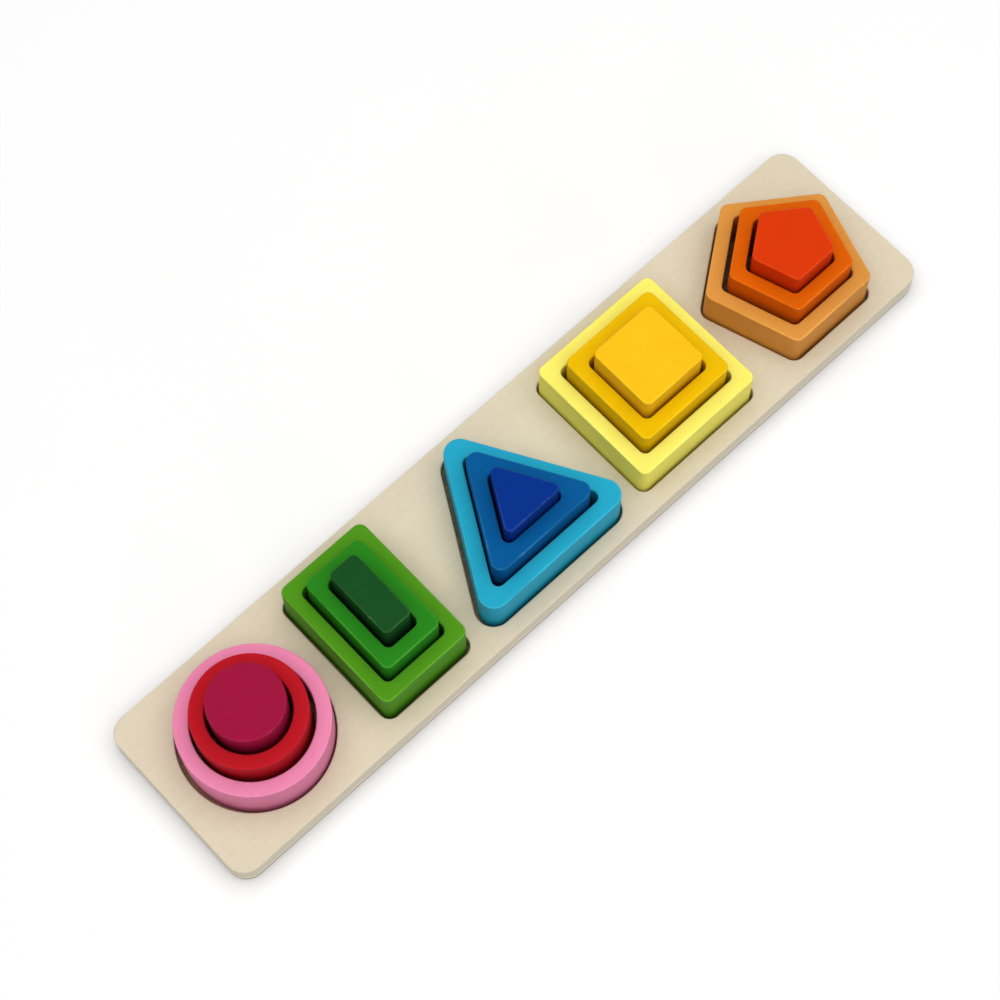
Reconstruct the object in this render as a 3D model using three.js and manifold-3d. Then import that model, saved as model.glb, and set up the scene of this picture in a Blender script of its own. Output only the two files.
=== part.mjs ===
// A shape nesting board: a long plywood board with five recesses in a row. Each recess holds three
// loose painted blocks of one outline, nested in each other: an outer ring, a middle ring and a
// solid inner block. Each block is taller than the one around it, and all stand on the recess floor.
//
// Millimetres, +Z up. The origin is under the middle of the board, on the surface it stands on.
// +X runs along the board from the circle to the pentagon, and +Y points to the back long edge.

import * as THREE from 'three';
import { mergeVertices } from 'three/addons/utils/BufferGeometryUtils.js';
import Module from 'manifold-3d';

// The board: a frame with five cut-outs, glued on a closed base panel
const BASE_THICKNESS = 4;
const FRAME_THICKNESS = 8; // this is also the depth of the recesses
const END_MARGIN = 11.4; // wood between an end of the board and the nearest recess
const RIB = 9.1; // wood between two recesses
const SIDE_MARGIN = 7.5; // wood between a long edge and the deepest recess
const BOARD_CORNER_RADIUS = 9;
const BOARD_EDGE_ROUND = 0.8;
const RECESS_CLEARANCE = 1.2; // all round an outer ring in its recess

// The blocks
const OUTER_HEIGHT = 26;
const MIDDLE_HEIGHT = 36;
const INNER_HEIGHT = 46;
const BLOCK_EDGE_ROUND = 0.8;
const RING_WALL = 6.5;
const SQUARE_RING_WALL = 6.8;
const NEST_GAP = 1.5; // all round a block in the ring that holds it
const TRIANGLE_RING_WALL = 7.1;
const TRIANGLE_NEST_GAP = 0.9; // the triangles fit closer
const HOLE_CORNER_RADIUS = 3; // left by the cutter in every ring

// Outlines of the outer rings, with the corner radii of the outer ring, middle ring and inner block
const CIRCLE_DIAMETER = 65.2;
const RECTANGLE_WIDTH = 46.4; // along the board
const RECTANGLE_DEPTH = 67.4; // across the board
const RECTANGLE_CORNERS = [4, 3.5, 2.5];
const TRIANGLE_INRADIUS = 25.5; // from the centre to the middle of a side
const TRIANGLE_CORNERS = [7, 4.5, 2.5];
const SQUARE_SIDE = 67;
const SQUARE_CORNERS = [3.5, 3.5, 3];
const PENTAGON_INRADIUS = 31.4;
const PENTAGON_CORNERS = [4, 3.5, 3];

// Where the loose blocks lie, outer ring first: how far each is pushed along X and Y from the middle of
// the recess or ring that holds it, as a share of the play it has there. 0 is centred, 1 touches.
const CIRCLE_LEANS = [[0.65, 0.15], [0, 0.6], [0.3, 0.55]];
const RECTANGLE_LEANS = [[0.25, 0.6], [0.2, 0], [0.2, 0.6]];
const TRIANGLE_LEANS = [[0.7, 0.15], [0.05, 0.4], [0.1, -0.3]];
const SQUARE_LEANS = [[0, 0], [0.1, 0], [0, 0]];
const PENTAGON_LEANS = [[0, 0.1], [0.55, -0.2], [0, -0.3]];

// Facets
const CIRCLE_STEPS = 32; // for half a turn
const CORNER_STEPS = 3; // for half a corner
const EDGE_STEPS = 2; // across an eased edge

// Finishes
const PAINT_ROUGHNESS = 0.45;
const WOOD_ROUGHNESS = 0.7;
const FRAME_COLOUR = 0xe2d4bc;
const BASE_COLOUR = 0xd8c9ae;

// A round outline.
function circleOutline(radius) {
  const outline = new THREE.Shape();
  outline.absarc(0, 0, radius, 0, 2 * Math.PI, false);
  return outline;
}

// An outline with straight sides whose corners, listed counter-clockwise, are rounded to one radius.
function roundedOutline(corners, radius) {
  const outline = new THREE.Shape();
  corners.forEach((corner, i) => {
    const back = corners.at(i - 1).clone().sub(corner).normalize();
    const ahead = corners[(i + 1) % corners.length].clone().sub(corner).normalize();
    const halfAngle = Math.acos(back.dot(ahead)) / 2;
    const centre = back.clone().add(ahead).setLength(radius / Math.sin(halfAngle)).add(corner);
    const start = Math.atan2(back.x, -back.y);
    const end = Math.atan2(-ahead.x, ahead.y);
    outline.absarc(centre.x, centre.y, radius, start, end, false);
  });
  return outline;
}

function rectangleCorners(width, depth) {
  const signs = [[1, -1], [1, 1], [-1, 1], [-1, -1]];
  return signs.map(([x, y]) => new THREE.Vector2((x * width) / 2, (y * depth) / 2));
}

// Corners of a regular polygon that stands on one side and points to +Y.
function regularCorners(count, inradius) {
  const reach = inradius / Math.cos(Math.PI / count);
  return Array.from({ length: count }, (_, i) => {
    const angle = Math.PI / 2 + (2 * Math.PI * i) / count;
    return new THREE.Vector2(reach * Math.cos(angle), reach * Math.sin(angle));
  });
}

// The five families of blocks, from -X to +X. outline(inset, radius) draws the outer ring's outline
// moved in by inset, with its corners rounded to radius.
const FAMILIES = [
  {
    name: 'circle',
    wall: RING_WALL,
    gap: NEST_GAP,
    corners: [0, 0, 0],
    leans: CIRCLE_LEANS,
    steps: CIRCLE_STEPS,
    colours: [0xec82b4, 0xc41c26, 0xa61a44],
    outline: (inset) => circleOutline(CIRCLE_DIAMETER / 2 - inset),
  },
  {
    name: 'rectangle',
    wall: RING_WALL,
    gap: NEST_GAP,
    corners: RECTANGLE_CORNERS,
    leans: RECTANGLE_LEANS,
    steps: CORNER_STEPS,
    colours: [0x549e1c, 0x268a20, 0x1f5528],
    outline: (inset, radius) => roundedOutline(
      rectangleCorners(RECTANGLE_WIDTH - 2 * inset, RECTANGLE_DEPTH - 2 * inset),
      radius,
    ),
  },
  {
    name: 'triangle',
    wall: TRIANGLE_RING_WALL,
    gap: TRIANGLE_NEST_GAP,
    corners: TRIANGLE_CORNERS,
    leans: TRIANGLE_LEANS,
    steps: CORNER_STEPS,
    colours: [0x2fb4d6, 0x1062a6, 0x0e3292],
    outline: (inset, radius) => roundedOutline(regularCorners(3, TRIANGLE_INRADIUS - inset), radius),
  },
  {
    name: 'square',
    wall: SQUARE_RING_WALL,
    gap: NEST_GAP,
    corners: SQUARE_CORNERS,
    leans: SQUARE_LEANS,
    steps: CORNER_STEPS,
    colours: [0xfcf274, 0xf2c708, 0xfec422],
    outline: (inset, radius) => roundedOutline(
      rectangleCorners(SQUARE_SIDE - 2 * inset, SQUARE_SIDE - 2 * inset),
      radius,
    ),
  },
  {
    name: 'pentagon',
    wall: RING_WALL,
    gap: NEST_GAP,
    corners: PENTAGON_CORNERS,
    leans: PENTAGON_LEANS,
    steps: CORNER_STEPS,
    colours: [0xde9a46, 0xe4640c, 0xde3a10],
    outline: (inset, radius) => roundedOutline(regularCorners(5, PENTAGON_INRADIUS - inset), radius),
  },
];

const LEVELS = [
  { name: 'outer_ring', height: OUTER_HEIGHT },
  { name: 'middle_ring', height: MIDDLE_HEIGHT },
  { name: 'inner_block', height: INNER_HEIGHT },
];

function recessOutline(family) {
  return family.outline(-RECESS_CLEARANCE, family.corners[0] + RECESS_CLEARANCE);
}

// A block's outline, with the hole of a ring in it. The inner block is solid.
function blockOutline(family, level) {
  const inset = level * (family.wall + family.gap);
  const outline = family.outline(inset, family.corners[level]);
  if (level < LEVELS.length - 1) {
    outline.holes.push(family.outline(inset + family.wall, HOLE_CORNER_RADIUS));
  }
  return outline;
}

// An outline raised to a height, with eased edges at the bottom and at the top.
function easedExtrusion(outline, height, edgeRound, steps) {
  const geometry = new THREE.ExtrudeGeometry(outline, {
    depth: height - 2 * edgeRound,
    bevelThickness: edgeRound,
    bevelSize: edgeRound,
    bevelOffset: -edgeRound,
    bevelSegments: EDGE_STEPS,
    curveSegments: steps,
  });
  return geometry.translate(0, 0, edgeRound);
}

const wasm = await Module();
wasm.setup();

function solidOf(geometry) {
  const bare = geometry.clone();
  bare.deleteAttribute('normal');
  bare.deleteAttribute('uv');
  const merged = mergeVertices(bare);
  return new wasm.Manifold(new wasm.Mesh({
    numProp: 3,
    vertProperties: new Float32Array(merged.getAttribute('position').array),
    triVerts: new Uint32Array(merged.getIndex().array),
  }));
}

function geometryOf(solid) {
  const mesh = solid.getMesh();
  const geometry = new THREE.BufferGeometry();
  geometry.setAttribute('position', new THREE.BufferAttribute(mesh.vertProperties, 3));
  geometry.setIndex(new THREE.BufferAttribute(mesh.triVerts, 1));
  geometry.computeVertexNormals();
  return geometry;
}

function paintedMesh(name, geometry, colour, roughness) {
  const material = new THREE.MeshStandardMaterial({ color: colour, roughness, metalness: 0 });
  const mesh = new THREE.Mesh(geometry, material);
  mesh.name = name;
  return mesh;
}

// Places the recesses in a row, END_MARGIN from the ends and RIB apart, and centres each one
// between the long edges.
function layOut(families) {
  let x = END_MARGIN;
  const places = families.map((family) => {
    const box = new THREE.Box2().setFromPoints(recessOutline(family).getPoints(family.steps));
    const size = box.getSize(new THREE.Vector2());
    const middle = box.getCenter(new THREE.Vector2());
    const place = { family, depth: size.y, position: new THREE.Vector2(x + size.x / 2, 0).sub(middle) };
    x += size.x + RIB;
    return place;
  });
  const length = x - RIB + END_MARGIN;
  const width = Math.max(...places.map((place) => place.depth)) + 2 * SIDE_MARGIN;
  places.forEach((place) => {
    place.position.x -= length / 2;
  });
  return { places, length, width };
}

const { places, length, width } = layOut(FAMILIES);

function boardOutline() {
  return roundedOutline(rectangleCorners(length, width), BOARD_CORNER_RADIUS);
}

// Cuts away everything between two heights.
function cutLayer(geometry, from, to) {
  const waste = new THREE.BoxGeometry(2 * length, 2 * width, to - from);
  waste.translate(0, 0, (from + to) / 2);
  return geometryOf(solidOf(geometry).subtract(solidOf(waste)));
}

// The base panel is eased along its lower edge only: its flat top is glued to the frame.
function basePanel() {
  const spare = 2 * BOARD_EDGE_ROUND;
  const raw = easedExtrusion(boardOutline(), BASE_THICKNESS + spare, BOARD_EDGE_ROUND, CORNER_STEPS);
  const geometry = cutLayer(raw, BASE_THICKNESS, BASE_THICKNESS + 2 * spare);
  return paintedMesh('base_panel', geometry, BASE_COLOUR, WOOD_ROUGHNESS);
}

// A cut-out is drawn with the facets of the ring that stands in it.
function cutOut({ family, position }) {
  const points = recessOutline(family).getPoints(family.steps);
  return new THREE.Path(points.map((point) => point.add(position)));
}

// The frame is eased along its upper edge and round the rims of the recesses.
function topFrame() {
  const outline = boardOutline();
  outline.holes.push(...places.map(cutOut));
  const spare = 2 * BOARD_EDGE_ROUND;
  const raw = easedExtrusion(outline, FRAME_THICKNESS + spare, BOARD_EDGE_ROUND, CORNER_STEPS);
  raw.translate(0, 0, -spare);
  const mesh = paintedMesh('top_frame', cutLayer(raw, -2 * spare, 0), FRAME_COLOUR, WOOD_ROUGHNESS);
  mesh.position.z = BASE_THICKNESS;
  return mesh;
}

// The three nested blocks of a family, standing on the recess floor. A ring takes along what stands in it.
function nest({ family, position }) {
  const group = new THREE.Group();
  group.position.set(position.x, position.y, BASE_THICKNESS);
  const centre = new THREE.Vector2();
  LEVELS.forEach(({ name, height }, level) => {
    const play = level === 0 ? RECESS_CLEARANCE : family.gap;
    centre.addScaledVector(new THREE.Vector2(...family.leans[level]), play);
    const outline = blockOutline(family, level);
    const geometry = easedExtrusion(outline, height, BLOCK_EDGE_ROUND, family.steps);
    const mesh = paintedMesh(`${family.name}_${name}`, geometry, family.colours[level], PAINT_ROUGHNESS);
    mesh.position.set(centre.x, centre.y, 0);
    group.add(mesh);
  });
  return group;
}

const nestingBoard = new THREE.Group();
nestingBoard.add(basePanel(), topFrame(), ...places.map(nest));

export default nestingBoard;
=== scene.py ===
# %% [markdown]
# # A shape nesting board
# A long plywood board has five recesses in a row. Each one holds three painted blocks of one outline,
# nested in each other: an outer ring, a middle ring and a solid inner block. The pieces could be modelled
# by hand, but here every surface is computed as a grid of two parameters, mostly a section carried round
# an outline, so that the look keeps to the sizes of the CAD part. All lengths are in metres unless a name
# ends in `_mm` or `_MM`.

import bmesh
import bpy
import numpy as np
from mathutils import Matrix, Vector


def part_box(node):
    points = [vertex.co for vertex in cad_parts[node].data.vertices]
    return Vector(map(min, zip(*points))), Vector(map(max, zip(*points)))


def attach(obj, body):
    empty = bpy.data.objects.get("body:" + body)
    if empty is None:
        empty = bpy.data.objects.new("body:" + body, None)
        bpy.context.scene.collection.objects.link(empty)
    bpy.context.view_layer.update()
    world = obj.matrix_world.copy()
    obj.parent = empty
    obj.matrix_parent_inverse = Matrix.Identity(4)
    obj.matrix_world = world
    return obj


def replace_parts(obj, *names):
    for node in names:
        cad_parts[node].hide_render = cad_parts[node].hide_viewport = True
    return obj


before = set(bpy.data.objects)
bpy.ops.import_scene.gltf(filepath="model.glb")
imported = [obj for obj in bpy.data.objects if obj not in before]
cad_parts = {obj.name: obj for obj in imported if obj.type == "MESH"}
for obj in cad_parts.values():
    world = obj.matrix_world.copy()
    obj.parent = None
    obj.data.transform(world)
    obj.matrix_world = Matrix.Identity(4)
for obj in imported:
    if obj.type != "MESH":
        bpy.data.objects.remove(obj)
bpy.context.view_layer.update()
print("CAD nodes:", len(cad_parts))

# %% [markdown]
# ## The five families
# The three blocks of a family share one outline. A family is described by its number of sides, by how far
# its outer ring reaches from the centre to a side, by the wall of its rings and the gap between them, by
# how strongly its edges are painted lighter, for wear and for a painted highlight, and by a corner radius
# and a paint for each level. Each block could have its own numbers, but one set for a family keeps the three
# nested. Places and heights are read from the CAD nodes.

# %% The five families
MM = 0.001
LEVELS = ("outer_ring", "middle_ring", "inner_block")
FAMILIES = {
    "circle": dict(
        sides=1, reach_mm=(32.6, 32.6), wall_mm=6.5, gap_mm=1.5, worn_and_lit=0.35, radii_mm=(0, 0, 0),
        paints=("pink", "red", "crimson")),
    "rectangle": dict(
        sides=4, reach_mm=(23.2, 33.7), wall_mm=6.5, gap_mm=1.5, worn_and_lit=1.0, radii_mm=(4, 3.5, 2.5),
        paints=("light_green", "green", "dark_green")),
    "triangle": dict(
        sides=3, reach_mm=(25.5, 25.5), wall_mm=7.1, gap_mm=0.9, worn_and_lit=1.0, radii_mm=(7, 4.5, 2.5),
        paints=("cyan", "blue", "dark_blue")),
    "square": dict(
        sides=4, reach_mm=(33.5, 33.5), wall_mm=6.8, gap_mm=1.5, worn_and_lit=0.7, radii_mm=(3.5, 3.5, 3),
        paints=("pale_yellow", "yellow", "amber")),
    "pentagon": dict(
        sides=5, reach_mm=(31.4, 31.4), wall_mm=6.5, gap_mm=1.5, worn_and_lit=0.8, radii_mm=(4, 3.5, 3),
        paints=("tan", "orange", "red_orange")),
}
print("families:", len(FAMILIES), "blocks in each:", len(LEVELS))

# %% [markdown]
# ## Outlines
# A rounded outline is a circle carried round the corners of a smaller polygon. A bevel could round a
# plain polygon too. With the formula, moving the outline in by some distance only makes the circle smaller,
# so eased edges follow every corner exactly.

# %% Outlines
SIDE_SHARES = np.array([0.01, 0.25, 0.5, 0.75, 0.99])
ARC_STEPS, FINE_ARC_STEPS = 12, 60
ARCS_IN_CIRCLE = 16
CORNER_SIGNS = np.array([[1, -1], [1, 1], [-1, 1], [-1, -1]])


def rounded(anchors, radius, steps=ARC_STEPS, shares=SIDE_SHARES):
    """Closed outline, counter-clockwise: arcs of one radius round the anchors, joined by straight sides.

    On an arc, a point is its anchor plus the radius times (cos a, sin a), where a runs between the normals
    of the two sides that meet there. On a side, it divides the line between two arcs at the given shares.
    """
    along = np.roll(anchors, -1, 0) - anchors
    leaving = np.arctan2(-along[:, 0], along[:, 1])
    turn = (leaving - np.roll(leaving, 1)) % (2 * np.pi)
    angle = np.roll(leaving, 1)[:, None] + turn[:, None] * np.linspace(0, 1, steps)
    arcs = anchors[:, None] + radius * np.stack([np.cos(angle), np.sin(angle)], -1)
    share = shares[None, :, None]
    sides = arcs[:, -1:] * (1 - share) + np.roll(arcs, -1, 0)[:, :1] * share
    return np.concatenate([arcs, sides], 1).reshape(-1, 2)


def family_outline(family, inset, radius, steps=ARC_STEPS, shares=SIDE_SHARES):
    """The family's outline moved in by inset: a circle, a rectangle, or a regular polygon pointing to +Y."""
    reach = np.array(family["reach_mm"]) * MM - inset
    if family["sides"] == 1:
        angle = np.linspace(0, 2 * np.pi, ARCS_IN_CIRCLE * steps, endpoint=False)
        return reach * np.stack([np.cos(angle), np.sin(angle)], -1)
    if family["sides"] == 4:
        return rounded((reach - radius) * CORNER_SIGNS, radius, steps, shares)
    angle = np.pi / 2 + 2 * np.pi * np.arange(family["sides"]) / family["sides"]
    far = (reach - radius) / np.cos(np.pi / family["sides"])
    return rounded(far * np.stack([np.cos(angle), np.sin(angle)], -1), radius, steps, shares)


def outer_points(family):
    """Number of points of the outline of the family's outer ring."""
    return len(family_outline(family, 0, family["radii_mm"][0] * MM))


print("points of an outline:", {name: outer_points(family) for name, family in FAMILIES.items()})

# %% [markdown]
# ## Places of the recesses
# The recesses stand in a row with the same width of wood between them. Their centres could be typed in, but
# they follow from the outlines.

# %% Places of the recesses
PLAY = 1.2 * MM  # all round an outer ring in its recess
END_MARGIN, RIB = 11.4 * MM, 9.1 * MM  # wood past the last recess, and between two recesses


def recess_places():
    """Centres of the recesses, which stand in a row, END_MARGIN from the board's ends and RIB apart."""
    places, x = {}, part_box("top_frame")[0].x + END_MARGIN
    for name, family in FAMILIES.items():
        points = family_outline(family, -PLAY, family["radii_mm"][0] * MM + PLAY, FINE_ARC_STEPS)
        low, high = points.min(0), points.max(0)
        places[name] = np.array([x - low[0], -(low[1] + high[1]) / 2])
        x += high[0] - low[0] + RIB
    return places


PLACES = recess_places()
print({name: np.round(place / MM, 1).tolist() for name, place in PLACES.items()})

# %% [markdown]
# ## From grid to mesh
# A grid of points becomes quads. The mesh could be built face by face, but arithmetic on whole arrays is
# shorter and quicker. Two numbers go with every point and stay on the mesh as attributes, which materials
# can read: `edge` is largest in the middle of an eased upper edge, where paint is rubbed thin and, on the
# front edges of the blocks, lighter still as a painted highlight, and `side` is 1 on upright walls, where
# plywood shows its layers.

# %% From grid to mesh
SHARP = np.radians(50)
WELD_DISTANCE = 1e-6


def grid_quads(rows, columns, close_rows):
    """Corner numbers of the quads of a grid closed along its columns, and along its rows if asked."""
    number = np.arange(rows * columns).reshape(rows, columns)
    number = np.vstack([number, number[:1]]) if close_rows else number
    right = np.roll(number, -1, 1)
    return np.stack([number[:-1], right[:-1], right[1:], number[1:]], -1).reshape(-1, 4)


def end_faces(rows, columns):
    """The first row as one face that looks down, and the last row as one that looks up."""
    return [list(range(columns))[::-1], list(range((rows - 1) * columns, rows * columns))]


def add_piece(name, points, faces, edge, side, weld=False):
    """A smooth mesh object with its edge and side numbers, at the origin."""
    mesh = bpy.data.meshes.new(name)
    mesh.from_pydata(points.reshape(-1, 3).tolist(), [], [list(face) for face in faces])
    for key, values in (("edge", edge), ("side", side)):
        layer = mesh.attributes.new(key, "FLOAT", "POINT")
        layer.data.foreach_set("value", np.asarray(values, np.float32).ravel())
    if weld:
        work = bmesh.new()
        work.from_mesh(mesh)
        bmesh.ops.remove_doubles(work, verts=work.verts, dist=WELD_DISTANCE)
        work.to_mesh(mesh)
        work.free()
    mesh.polygons.foreach_set("use_smooth", np.ones(len(mesh.polygons), bool))
    mesh.set_sharp_from_angle(angle=SHARP)
    piece = bpy.data.objects.new(name, mesh)
    bpy.context.scene.collection.objects.link(piece)
    return piece


print("quads of a closed grid of 3 by 4 points:", len(grid_quads(3, 4, True)))

# %% [markdown]
# ## Eased edges
# The edges of the wood are slightly rounded. A bevel modifier would do that, but a section with its own
# quarter circles also says at each point how far the edge or the wall has turned.

# %% Eased edges
EDGE = 0.8 * MM  # radius of every eased edge
HOLD = 0.1 * MM  # a narrow row of quads beside an eased edge, so that the flat face is shaded flat
QUARTER = np.linspace(0, np.pi / 2, 7)


def eased_foot():
    """Rows (distance in from the side, height, edge, side) of a quarter circle that rises to the wall."""
    s, c = np.sin(QUARTER), np.cos(QUARTER)
    return np.stack([EDGE - EDGE * s, EDGE - EDGE * c, 0 * s, s], -1)


def eased_head(height):
    """Rows of a quarter circle that turns from the wall on to the top, and the first row of the flat top."""
    s, c = np.sin(QUARTER), np.cos(QUARTER)
    turn = np.stack([EDGE - EDGE * c, height - EDGE + EDGE * s, np.sin(2 * QUARTER), c], -1)
    return np.vstack([turn, [[EDGE + HOLD, height, 0, 0]]])


def eased_side(height):
    """Rows of one upright side: an eased foot, a straight wall and an eased head."""
    wall = np.array([[0, EDGE + HOLD, 0, 1], [0, height / 2, 0, 1], [0, height - EDGE - HOLD, 0, 1]])
    return np.vstack([eased_foot(), wall, eased_head(height)])


print("rows of an eased side:", len(eased_side(1.0)))

# %% [markdown]
# ## The blocks
# The blocks are loose pieces of painted wood. A ring's section goes up its outer side and down its hole,
# and is carried round the outline. An inner block has only the outer side, and a flat face closes each end.
# A bevelled curve would give the same shape, but not the `edge` numbers: they are largest on the front side,
# where a painted highlight is added to the wear, and smaller in the holes.

# %% The blocks
HOLE_RADIUS = 3 * MM
# Edges that face the front lamp get a second share of the lighter paint: a painted highlight over the wear
# all round.
TOWARD_LIGHT = np.array([-0.45, -0.89])
WEAR_ALL_ROUND, PAINTED_HIGHLIGHT_SHARE = 0.55, 0.45
HOLE_WEAR = 0.4


def carried(place, foot, section, outline_of):
    """Rows of points: for each row of the section, the outline at that distance in, at that height."""
    rows = [np.insert(outline_of(row[0]) + place, 2, foot + row[1], axis=1) for row in section]
    return np.array(rows)


def block(name, level):
    """One block: outline round the columns, section along the rows."""
    family, node = FAMILIES[name], f"{name}_{LEVELS[level]}"
    is_ring = LEVELS[level] != "inner_block"
    lo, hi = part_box(node)
    wall, radius = family["wall_mm"] * MM, family["radii_mm"][level] * MM
    inset = level * (wall + family["gap_mm"] * MM)
    flat = family_outline(family, inset, radius)
    place = (np.array(lo + hi)[:2] - flat.min(0) - flat.max(0)) / 2
    up = eased_side(hi.z - lo.z)
    points = carried(place, lo.z, up, lambda d: family_outline(family, inset + d, radius - d))
    marks = up
    if is_ring:
        inner = inset + wall
        down = up[::-1]
        hole = carried(place, lo.z, down, lambda d: family_outline(family, inner - d, HOLE_RADIUS + d))
        points, marks = np.concatenate([points, hole]), np.vstack([up, down])
    rows, columns = points.shape[:2]
    faces = grid_quads(rows, columns, is_ring).tolist()
    if not is_ring:
        faces += end_faces(rows, columns)
    # Painted highlight: the more an edge faces the front, the lighter it is painted.
    light_facing = (flat / np.linalg.norm(flat, axis=1, keepdims=True)) @ TOWARD_LIGHT
    edge = family["worn_and_lit"] * marks[:, 2:3] * (WEAR_ALL_ROUND + PAINTED_HIGHLIGHT_SHARE * light_facing)
    edge[len(up):] *= HOLE_WEAR
    piece = add_piece("look_" + node, points, faces, edge, np.repeat(marks[:, 3], columns))
    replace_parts(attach(piece, node), node)
    return piece


BLOCKS = {(name, level): block(name, level) for name in FAMILIES for level in range(len(LEVELS))}
print("blocks:", len(BLOCKS), "faces:", sum(len(piece.data.polygons) for piece in BLOCKS.values()))

# %% [markdown]
# ## The base panel
# The panel is the lower layer of the board and the floor of the recesses. Its outline is a rectangle with
# round corners, and it is eased along its foot only, because its top meets the frame. A bevelled box would
# do, but carrying a section round as for the blocks marks the walls for the layers.

# %% The base panel
BOARD_RADIUS = 9 * MM
_, board_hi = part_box("top_frame")
HALF_LENGTH, HALF_WIDTH = board_hi.x, board_hi.y
CORE = np.array([HALF_LENGTH, HALF_WIDTH]) - BOARD_RADIUS  # centre of a round corner


def base_panel():
    """An eased foot and a wall, carried round the board's outline, with a flat face at each end."""
    lo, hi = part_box("base_panel")
    height = hi.z - lo.z
    foot = eased_foot()[:, :2]
    section = np.vstack([[EDGE + HOLD, 0], foot, [0, EDGE + HOLD], [0, height], [EDGE, height]])
    anchors = CORE * CORNER_SIGNS
    points = carried(np.zeros(2), lo.z, section, lambda d: rounded(anchors, BOARD_RADIUS - d))
    rows, columns = points.shape[:2]
    faces = grid_quads(rows, columns, False).tolist() + end_faces(rows, columns)
    side = np.repeat((section[:, 0] < EDGE).astype(float), columns)
    piece = add_piece("look_base_panel", points, faces, 0 * side, side)
    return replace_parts(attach(piece, "board"), "base_panel")


base = base_panel()
print("base panel faces:", len(base.data.polygons))

# %% [markdown]
# ## Borders in the frame
# The frame is the upper layer of the board: one panel with five cut-outs. Boolean modifiers could cut them
# out of a slab, but would leave no rows of quads for the eased rims. So the frame is divided into five
# cells by lines across the ribs. This step finds the border of a cell.

# %% Borders in the frame
LINE_STEPS, CORNER_STEPS = 150, 14


def cell_border(left, right, first, last):
    """Border of a cell, counter-clockwise, as anchors and normals.

    A point is its anchor plus its normal times a length. On the board's edges the length is the corner
    radius less the distance in. On the ribs the normal is zero.
    """
    def line(start, end, normal):
        """Points that divide a straight side evenly, all with one normal."""
        share = np.linspace(0, 1, LINE_STEPS)[:, None]
        anchors = (1 - share) * np.array(start) + share * np.array(end)
        return anchors, np.tile(normal, (LINE_STEPS, 1))

    def across(x, end):
        """A side across the board: one of its ends, or a line across a rib."""
        if x in (-CORE[0], CORE[0]):
            return line((x, -end * CORE[1]), (x, end * CORE[1]), (np.sign(x), 0.0))
        y = end * (HALF_WIDTH - EDGE - HOLD) * np.linspace(-1, 1, LINE_STEPS + 2)[1:-1]
        return np.stack([np.full(LINE_STEPS, x), y], -1), np.zeros((LINE_STEPS, 2))

    def corner(x, y, start):
        """A round corner: one anchor, and normals that turn through a quarter."""
        angle = start + np.linspace(0, np.pi / 2, CORNER_STEPS)
        anchors = np.tile([x * CORE[0], y * CORE[1]], (CORNER_STEPS, 1))
        return anchors, np.stack([np.cos(angle), np.sin(angle)], -1)

    west, east = (-CORE[0] if first else left), (CORE[0] if last else right)
    parts = [line((west, -CORE[1]), (east, -CORE[1]), (0.0, -1.0))]
    parts += [corner(1, -1, -np.pi / 2)] if last else []
    parts += [across(east, 1)]
    parts += [corner(1, 1, 0)] if last else []
    parts += [line((east, CORE[1]), (west, CORE[1]), (0.0, 1.0))]
    parts += [corner(-1, 1, np.pi / 2)] if first else []
    parts += [across(west, -1)]
    parts += [corner(-1, -1, np.pi)] if first else []
    return np.vstack([part[0] for part in parts]), np.vstack([part[1] for part in parts])


print("points round the first cell:", len(cell_border(-HALF_LENGTH, 0.0, True, False)[0]))

# %% [markdown]
# ## One cell of the frame
# Straight rays from the recess's centre join its rim to the cell's border. The cell could be filled with
# one many-sided face, but with the rays it is again a grid: once round the recess, and from the floor up
# the recess's wall, over its eased rim and out to the border. A strip then turns the outer border down the
# board's edge.

# %% One cell of the frame
RIM_SHARES = np.linspace(0.002, 0.998, 250)


def rim(family, angle, out):
    """The recess's outline moved out by a distance, met by rays at these angles from its centre."""
    radius = family["radii_mm"][0] * MM + PLAY + out
    points = family_outline(family, -PLAY - out, radius, FINE_ARC_STEPS, RIM_SHARES)
    bearing = np.arctan2(points[:, 1], points[:, 0])
    order = np.argsort(bearing)
    return np.interp(angle, bearing[order], np.hypot(*points[order].T), period=2 * np.pi)


def frame_cell(name, left, right, first, last, foot, top):
    """Points, quads and edge and side numbers of one cell of the frame and of its strip of board edge.

    A point of the recess's wall or rim is its centre plus the rim's distance times (cos a, sin a), where a
    is the angle of the ray to a point of the border.
    """
    anchors, normals = cell_border(left, right, first, last)
    ray = anchors + normals * (BOARD_RADIUS - EDGE - HOLD) - PLACES[name]
    angle = np.arctan2(ray[:, 1], ray[:, 0])
    bearing = np.stack([np.cos(angle), np.sin(angle)], -1)
    wall = np.array([[0, foot, 0, 1], [0, (foot + top) / 2, 0, 1], [0, top - EDGE - HOLD, 0, 1]])
    head = eased_head(top)
    section = np.vstack([wall, head])
    reaches = [rim(FAMILIES[name], angle, row[0])[:, None] for row in section]
    rows = [np.insert(PLACES[name] + reach * bearing, 2, row[1], axis=1)
            for reach, row in zip(reaches, section)]
    turned = np.vstack([head[::-1], wall[[2, 0]]])
    strip = [np.insert(anchors + normals * (BOARD_RADIUS - row[0]), 2, row[1], axis=1) for row in turned]
    grid = np.array([strip[-1], *rows, strip[0]])
    columns = len(anchors)
    quads = grid_quads(len(grid), columns, False)
    on_edge = np.abs(normals).sum(1) > 0
    strip_quads = grid_quads(len(strip), columns, False)
    strip_quads = strip_quads[on_edge[strip_quads % columns].all(1)] + len(grid) * columns
    marks = np.vstack([turned[-1:], section, turned[:1], turned])
    points = np.concatenate([grid, np.array(strip)]).reshape(-1, 3)
    return points, np.vstack([quads, strip_quads])[:, ::-1], np.repeat(marks[:, 2:], columns, axis=0)


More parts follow.
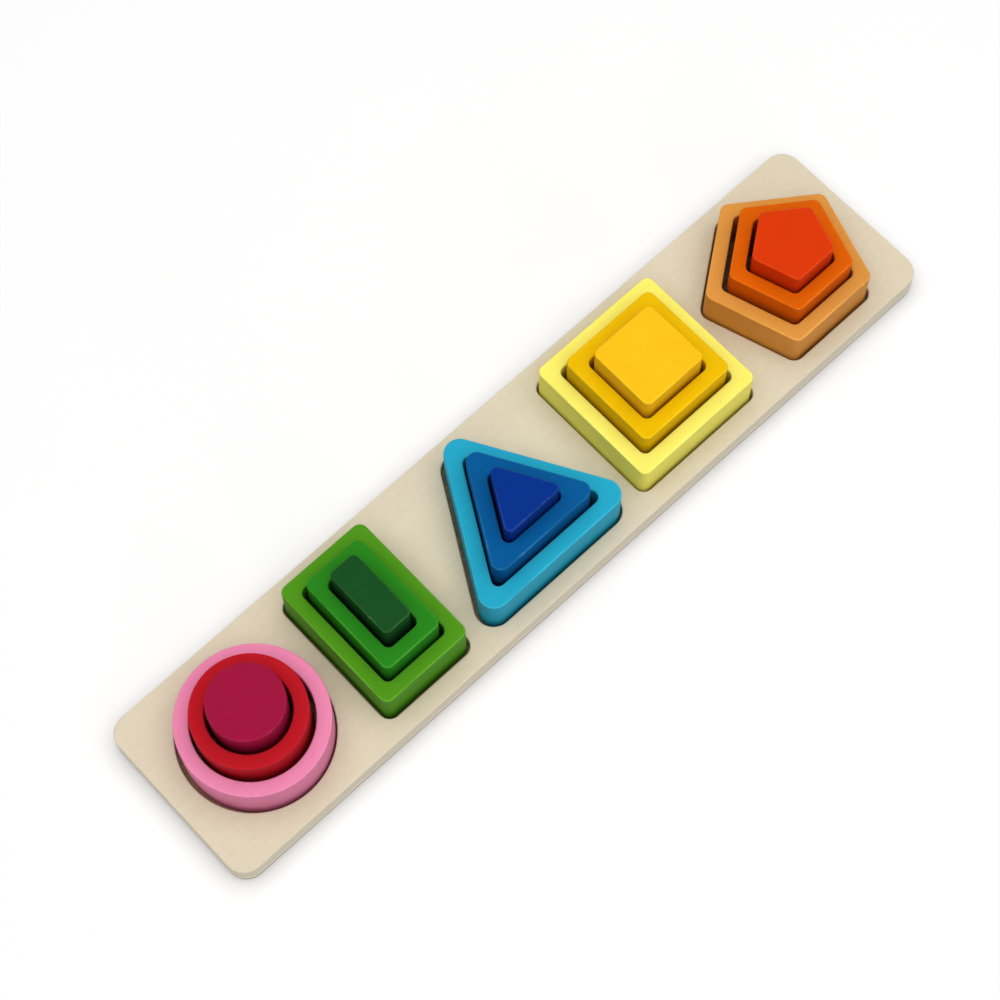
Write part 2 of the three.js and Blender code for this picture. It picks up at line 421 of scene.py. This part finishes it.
reach_back = {name: float(rim(family, np.pi / 2, 0.0)) for name, family in FAMILIES.items()}
print("reach of each recess to the back, mm:", {name: round(d / MM, 1) for name, d in reach_back.items()})

# %% [markdown]
# ## The whole frame
# The five cells become one mesh. They could stay separate objects, but the frame is one piece of wood, so
# points that coincide on the ribs are welded.

# %% The whole frame
def top_frame():
    """All five cells, welded along the ribs."""
    lo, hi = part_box("top_frame")
    names = list(FAMILIES)
    boxes = [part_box(name + "_outer_ring") for name in names]
    cuts = [lo.x, *[(a[1].x + b[0].x) / 2 for a, b in zip(boxes, boxes[1:])], hi.x]
    last = len(names) - 1
    cells = [frame_cell(name, cuts[i], cuts[i + 1], i == 0, i == last, lo.z, hi.z)
             for i, name in enumerate(names)]
    shift = np.cumsum([0] + [len(cell[0]) for cell in cells])
    points = np.vstack([cell[0] for cell in cells])
    faces = np.vstack([cell[1] + start for cell, start in zip(cells, shift)])
    used, faces = np.unique(faces, return_inverse=True)
    marks = np.vstack([cell[2] for cell in cells])[used]
    quads = faces.reshape(-1, 4)
    piece = add_piece("look_top_frame", points[used], quads, marks[:, 0], marks[:, 1], weld=True)
    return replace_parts(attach(piece, "board"), "top_frame")


def uses_of_edges(mesh):
    """How many faces meet at each edge: the least and the most, which are 2 on a closed surface."""
    edge_of_corner = np.zeros(len(mesh.loops), np.int32)
    mesh.loops.foreach_get("edge_index", edge_of_corner)
    uses = np.bincount(edge_of_corner, minlength=len(mesh.edges))
    return int(uses.min()), int(uses.max())


top = top_frame()
print("frame faces:", len(top.data.polygons), "faces at an edge:", uses_of_edges(top.data))

# %% [markdown]
# ## Helpers for shaders
# A shader is a small graph. It could be drawn in the shader editor, but in a script each step is a call: a
# noise over the object's own coordinates, a change of range, a mix of two colours and a product. A noise's
# scale is in cells per metre along X, Y and Z. A band is the range that a value is read over, and the range
# that it becomes. Colours are given as they show on a screen. Surfaces reflect only the share REFLECTED of
# that and the lamps are brighter to match, so that less light bounces into the gaps.

# %% Helpers for shaders
REFLECTED = 0.8
BUMP_HEIGHT = 0.1 * MM


def linear(colour, gain=1.0):
    """Linear light of a screen colour in 0 to 255: power 2.4 above the short straight start of the curve."""
    share = np.asarray(colour, float) / 255
    light = np.where(share <= 0.04045, share / 12.92, ((share + 0.055) / 1.055) ** 2.4)
    return (*np.clip(light * gain * REFLECTED, 0, 1), 1.0)


def add(tree, kind, values=None, **settings):
    """Adds a shader node. values maps a socket to a constant or to another node's output."""
    node = tree.nodes.new("ShaderNode" + kind)
    for key, value in settings.items():
        setattr(node, key, value)
    for key, value in (values or {}).items():
        if isinstance(value, bpy.types.NodeSocket):
            tree.links.new(value, node.inputs[key])
        else:
            node.inputs[key].default_value = value
    return node


def noise(tree, place, scale, detail=2.0):
    """Noise over the object's own coordinates, with its own scale along each axis."""
    spread = add(tree, "Mapping", {"Vector": place, "Scale": scale}).outputs[0]
    return add(tree, "TexNoise", {"Vector": spread, "Scale": 1.0, "Detail": detail}).outputs[0]


def between(tree, value, low, high, start, end):
    """Maps value from low..high to start..end, clamped."""
    names = ("Value", "From Min", "From Max", "To Min", "To Max")
    return add(tree, "MapRange", dict(zip(names, (value, low, high, start, end)))).outputs[0]


def mixed(tree, share, first, second):
    """Mixes two colours by a share. A Mix node's colours are its inputs 6 and 7 and its output 2."""
    values = {0: share, 6: first, 7: second}
    return add(tree, "Mix", values, data_type="RGBA").outputs[2]


def multiplied(tree, first, second):
    """Product of two numbers."""
    return add(tree, "Math", {0: first, 1: second}, operation="MULTIPLY").outputs[0]


def start_material(name):
    """A new material: its tree, its shader, the object's coordinates and the two numbers of the mesh."""
    material = bpy.data.materials.new(name)
    material.use_nodes = True
    tree = material.node_tree
    place = add(tree, "TexCoord").outputs["Object"]
    edge = add(tree, "Attribute", attribute_name="edge").outputs["Fac"]
    side = add(tree, "Attribute", attribute_name="side").outputs["Fac"]
    return material, tree, tree.nodes["Principled BSDF"], place, edge, side


def finish_shader(tree, shader, colour, roughness, specular, relief, strength):
    """Links colour, roughness and a shallow bump to the shader, and sets its specular level."""
    tree.links.new(colour, shader.inputs["Base Color"])
    tree.links.new(roughness, shader.inputs["Roughness"])
    shader.inputs["Specular IOR Level"].default_value = specular
    bump = add(tree, "Bump", {"Height": relief, "Strength": strength, "Distance": BUMP_HEIGHT})
    tree.links.new(bump.outputs[0], shader.inputs["Normal"])


print("a screen colour of 128 is linear", round(linear((128, 128, 128))[0], 3))

# %% [markdown]
# ## Paint
# Thin, nearly matt paint over wood: a faint grain, cloudy thickness, a few dark specks on the flat faces,
# and lighter paint with small nicks along the upper edges, partly wear all round and partly a painted
# highlight that is strongest on the front edges. A painted image could hold all this, but noise over the
# object's coordinates needs no unwrapping and has no seams.

# %% Paint
PAINTS = {
    "pink": (239, 139, 178), "red": (190, 24, 36), "crimson": (159, 20, 61),
    "light_green": (81, 151, 27), "green": (41, 133, 28), "dark_green": (25, 77, 33),
    "cyan": (38, 168, 200), "blue": (5, 89, 151), "dark_blue": (5, 49, 138),
    "pale_yellow": (254, 243, 110), "yellow": (239, 190, 2), "amber": (252, 195, 24),
    "tan": (222, 151, 67), "orange": (221, 96, 2), "red_orange": (219, 57, 7),
}
BARE = np.array((232, 214, 184))  # the wood under the paint
PAINT_GRAIN, PAINT_CLOUD = (60, 420, 60), (55, 75, 60)
SPECKS, NICKS = (480, 480, 480), (520, 520, 260)
GRAIN_BAND, WEAR_AND_HIGHLIGHT_BAND = (0.4, 0.7, 0, 0.25), (0.3, 0.6, 0.25, 0.85)
NICK_BAND, SPECK_BAND = (0.6, 0.68, 0, 0.7), (0.78, 0.81, 0, 0.35)
FLAT_BAND = (0, 0.5, 1, 0)
PAINT_ROUGHNESS = (0.3, 0.7, 0.45, 0.6)
CLOUD_DARK, CLOUD_LIGHT, GRAIN_GAIN, SPECK_GAIN = 0.93, 1.07, 0.88, 0.4
WORN_BARE, WORN_AND_LIT_GAIN = 0.1, 1.55
NICK_BARE, NICK_GAIN = 0.3, 1.15
PAINT_SPECULAR, PAINT_BUMP = 0.06, 0.1


def paint(name, colour):
    """Paint in a screen colour, times gains for its cloud, grain and specks.

    Worn edges and nicks mix it with a lighter colour that has a share of bare wood in it.
    On the front edges this lighter colour is also a painted highlight.
    """
    material, tree, shader, place, edge, side = start_material(name)
    grain = noise(tree, place, PAINT_GRAIN, 3)
    cloud = noise(tree, place, PAINT_CLOUD, 3)
    speck = between(tree, noise(tree, place, SPECKS, 1), *SPECK_BAND)
    speck = multiplied(tree, speck, between(tree, side, *FLAT_BAND))
    # The lighter edge paint is partly wear and partly a painted highlight on the front edges. The nicks
    # follow the same edge numbers.
    wear_and_highlight = multiplied(tree, edge, between(tree, cloud, *WEAR_AND_HIGHLIGHT_BAND))
    nick = multiplied(tree, edge, between(tree, noise(tree, place, NICKS, 2), *NICK_BAND))
    worn_and_lit = (1 - WORN_BARE) * np.array(colour) + WORN_BARE * BARE
    nicked = (1 - NICK_BARE) * np.array(colour) + NICK_BARE * BARE
    body = mixed(tree, cloud, linear(colour, CLOUD_DARK), linear(colour, CLOUD_LIGHT))
    body = mixed(tree, between(tree, grain, *GRAIN_BAND), body, linear(colour, GRAIN_GAIN))
    body = mixed(tree, wear_and_highlight, body, linear(worn_and_lit, WORN_AND_LIT_GAIN))
    body = mixed(tree, nick, body, linear(nicked, NICK_GAIN))
    body = mixed(tree, speck, body, linear(colour, SPECK_GAIN))
    roughness = between(tree, cloud, *PAINT_ROUGHNESS)
    finish_shader(tree, shader, body, roughness, PAINT_SPECULAR, grain, PAINT_BUMP)
    return material


for (name, level), piece in BLOCKS.items():
    key = FAMILIES[name]["paints"][level]
    piece.data.materials.append(paint(key + "_paint_look", PAINTS[key]))
print("paints:", sum(material.name.endswith("_paint_look") for material in bpy.data.materials))

# %% [markdown]
# ## Plywood
# The faces are pale, with a weak grain along the board and soft mottles. The floor of the recesses is given
# a browner wood with a clearer grain, which is a guess. It is also made darker as painted shade, since it is
# seen only down narrow gaps. Upright walls show the layers: a tone for each height, with thin dark glue
# lines, a light veneer just under the joint of frame and panel, and darker tones at the very bottom, which
# are painted shade where the board meets the floor. The layers could be modelled as thin sheets, but a ramp
# over the height shows them without more geometry.

# %% Plywood
BOARD_THICKNESS = 12 * MM
PLY_FINE, PLY_MOTTLE, PLY_BROAD = (30, 700, 60), (260, 420, 260), (9, 70, 70)
PLY_FLECK, PLY_STREAK = (160, 900, 900), (25, 25, 1500)
FINE_BAND, MOTTLE_BAND = (0.35, 0.7, 0, 0.13), (0.4, 0.7, 0, 0.25)
FLECK_BAND, STREAK_BAND = (0.7, 0.8, 0, 0.25), (0.35, 0.7, 0, 0.15)
RECESS_SHADE_BAND = (0.35, 0.7, 0, 1)
UP_TO_FLOOR, PAST_FLOOR = (3 * MM, 3.9 * MM, 0, 1), (4.1 * MM, 5 * MM, 1, 0)
PLY_ROUGHNESS = (0.3, 0.7, 0.55, 0.68)
FACE_DARK, FACE_LIGHT = (221, 208, 182), (228, 217, 192)
FINE_TONE, MOTTLE_TONE, FLECK_TONE = (207, 190, 160), (210, 197, 168), (186, 162, 126)
# Darker, browner wood for the recess floors: painted shade for the narrow gaps they are seen through.
RECESS_SHADE_LIGHT, RECESS_SHADE_DARK = (190, 156, 118), (158, 120, 84)
STREAK_TONE, RUBBED_TONE = (188, 176, 152), (240, 232, 214)
RECESS_SHADE_SHARE, RUBBED_SHARE = 0.9, 0.12
PLY_SPECULAR, PLY_BUMP = 0.15, 0.05
LAYER_HUE = np.array((1, 0.95, 0.85))
# Share of the board's thickness, and the tone there in 0 to 255. The dark tones at the very bottom are
# painted shade where the board meets the floor.
LAYERS = [
    (0.0, 140), (0.1, 176), (0.16, 222), (0.22, 255), (0.36, 255), (0.39, 200), (0.42, 224),
    (0.52, 240), (0.55, 206), (0.59, 236), (0.72, 240), (0.76, 204), (0.8, 232), (1.0, 229),
]


def layers(tree, height):
    """The tone of the plywood's layers at a height, from a ramp with a stop for each entry of LAYERS."""
    ramp = add(tree, "ValToRGB", {"Fac": between(tree, height, 0, BOARD_THICKNESS, 0, 1)})
    for _ in LAYERS[2:]:
        ramp.color_ramp.elements.new(0.5)
    for element, (position, tone) in zip(ramp.color_ramp.elements, LAYERS):
        element.position = position
        element.color = linear(tone * LAYER_HUE)
    return ramp.outputs[0]


def plywood(name):
    """Pale sanded plywood: the grain runs along X, and the layers follow Z on upright walls."""
    material, tree, shader, place, edge, side = start_material(name)
    fine = noise(tree, place, PLY_FINE, 3)
    mottle = noise(tree, place, PLY_MOTTLE, 3)
    broad = noise(tree, place, PLY_BROAD, 3)
    fleck = noise(tree, place, PLY_FLECK, 2)
    streak = noise(tree, place, PLY_STREAK, 2)
    height = add(tree, "SeparateXYZ", {0: place}).outputs["Z"]
    face = mixed(tree, broad, linear(FACE_DARK), linear(FACE_LIGHT))
    face = mixed(tree, between(tree, fine, *FINE_BAND), face, linear(FINE_TONE))
    face = mixed(tree, between(tree, mottle, *MOTTLE_BAND), face, linear(MOTTLE_TONE))
    face = mixed(tree, between(tree, fleck, *FLECK_BAND), face, linear(FLECK_TONE))
    # Painted shade: the recess floors, seen only down narrow gaps, get a darker, browner wood.
    sunk = multiplied(tree, between(tree, height, *UP_TO_FLOOR), between(tree, height, *PAST_FLOOR))
    recess_shade = mixed(tree, between(tree, fine, *RECESS_SHADE_BAND), linear(RECESS_SHADE_LIGHT), linear(RECESS_SHADE_DARK))
    face = mixed(tree, multiplied(tree, sunk, RECESS_SHADE_SHARE), face, recess_shade)
    layered = layers(tree, height)
    layered = mixed(tree, between(tree, streak, *STREAK_BAND), layered, linear(STREAK_TONE))
    body = mixed(tree, side, face, layered)
    body = mixed(tree, multiplied(tree, edge, RUBBED_SHARE), body, linear(RUBBED_TONE))
    roughness = between(tree, broad, *PLY_ROUGHNESS)
    finish_shader(tree, shader, body, roughness, PLY_SPECULAR, fine, PLY_BUMP)
    return material


top.data.materials.append(plywood("frame_plywood_look"))
base.data.materials.append(plywood("base_plywood_look"))
print("materials on the board:", top.data.materials[0].name, base.data.materials[0].name)

# %% [markdown]
# ## Floor
# The board lies on a plain white floor. A curved backdrop is the usual way, but it works from one side
# only. Here, far from the board, the floor shows the camera plain white, so the background is white from
# every side, while the light on the board stays the same.

# %% Floor
FLOOR_REACH, FLOOR_LINES = 3.0, 9
FLOOR_DROP = 0.1 * MM
FLOOR_CLOUD = (6, 6, 6)
FLOOR_DARK, FLOOR_LIGHT = (0.76, 0.76, 0.76, 1), (0.78, 0.78, 0.78, 1)
FLOOR_ROUGHNESS = 0.9
FADE_FROM, FADE_TO = 0.4, 0.9


def floor():
    """A flat square grid under the board."""
    line = np.linspace(-FLOOR_REACH, FLOOR_REACH, FLOOR_LINES)
    x, y = np.meshgrid(line, line)
    points = np.stack([x, y, 0 * x - FLOOR_DROP], -1)
    number = np.arange(x.size).reshape(x.shape)
    corners = [number[:-1, :-1], number[:-1, 1:], number[1:, 1:], number[1:, :-1]]
    quads = np.stack(corners, -1).reshape(-1, 4)
    piece = add_piece("floor", points, quads.tolist(), 0 * x, 0 * x)
    return piece


def floor_white():
    """White paper, a little cloudy. To the camera it fades to plain white away from the origin."""
    material, tree, shader, place, _, _ = start_material("floor_white")
    shade = mixed(tree, noise(tree, place, FLOOR_CLOUD), FLOOR_DARK, FLOOR_LIGHT)
    tree.links.new(shade, shader.inputs["Base Color"])
    shader.inputs["Roughness"].default_value = FLOOR_ROUGHNESS
    shader.inputs["Specular IOR Level"].default_value = 0.0
    distance = add(tree, "VectorMath", {0: place}, operation="LENGTH").outputs["Value"]
    seen = add(tree, "LightPath").outputs["Is Camera Ray"]
    far = multiplied(tree, seen, between(tree, distance, FADE_FROM, FADE_TO, 0, 1))
    plain = add(tree, "Emission", {"Color": (1, 1, 1, 1)})
    blend = add(tree, "MixShader", {0: far, 1: shader.outputs[0], 2: plain.outputs[0]})
    tree.links.new(blend.outputs[0], tree.nodes["Material Output"].inputs["Surface"])
    material.cycles.emission_sampling = "NONE"
    return material


ground = floor()
ground.data.materials.append(floor_white())
print("floor size:", np.round(ground.dimensions, 2).tolist())

# %% [markdown]
# ## Light
# A very broad lamp hangs over the board, and the sky adds a little from all sides, so shadows are soft and
# the walls are darker than the tops. A sun would be simpler, but its shadows are hard. The broad lamp makes
# no gleam on the paint. A small weak lamp in front adds the only gleam from a lamp. The lighter front edges
# of the blocks are a painted highlight.

# %% Light
SKY, SKY_IN_GLOSS, SKY_TO_CAMERA = 0.28, 0.02, 1.0
scene = bpy.context.scene
scene.view_settings.view_transform = "Standard"
world = bpy.data.worlds.new("studio")
world.use_nodes = True
sky = world.node_tree.nodes["Background"]
sky.inputs["Color"].default_value = (1.0, 1.0, 1.0, 1)
ray = add(world.node_tree, "LightPath").outputs
strength = between(world.node_tree, ray["Is Glossy Ray"], 0, 1, SKY, SKY_IN_GLOSS)
strength = between(world.node_tree, ray["Is Camera Ray"], 0, 1, strength, SKY_TO_CAMERA)
world.node_tree.links.new(strength, sky.inputs["Strength"])
scene.world = world


def soft_light(name, place, size, power):
    """A square area light that looks at the board."""
    lamp = bpy.data.lights.new(name, "AREA")
    lamp.size, lamp.energy = size, power
    holder = bpy.data.objects.new(name, lamp)
    holder.location = place
    holder.rotation_euler = (-Vector(place)).to_track_quat("-Z", "Y").to_euler()
    scene.collection.objects.link(holder)
    return holder


overhead = soft_light("overhead", place=(0.0, -0.1, 2.2), size=3.8, power=95)
overhead.visible_glossy = False
soft_light("front", place=(-0.5, -1.6, 1.0), size=0.6, power=1.5)

# %% [markdown]
# ## Camera
# The camera could be aimed by eye. Its place, axes and lens were fitted to the board's four upper edges in
# the photograph instead, so that a render can be laid over it.

# %% Camera
CAMERA_PLACE = (-0.26710, -0.28016, 1.01222)
CAMERA_RIGHT = (0.72977, -0.68365, -0.00833)
CAMERA_UP = (0.6404, 0.67923, 0.35853)
CAMERA_BACK = (-0.23945, -0.26698, 0.93348)
SENSOR_MM, LENS_MM = 36, 90
lens = bpy.data.cameras.new("camera")
lens.sensor_width, lens.lens = SENSOR_MM, LENS_MM
camera = bpy.data.objects.new("camera", lens)
axes = Matrix((CAMERA_RIGHT, CAMERA_UP, CAMERA_BACK)).transposed().to_4x4()
camera.matrix_world = Matrix.Translation(CAMERA_PLACE) @ axes
scene.collection.objects.link(camera)
scene.camera = camera
print("camera:", np.round(camera.location, 3).tolist())
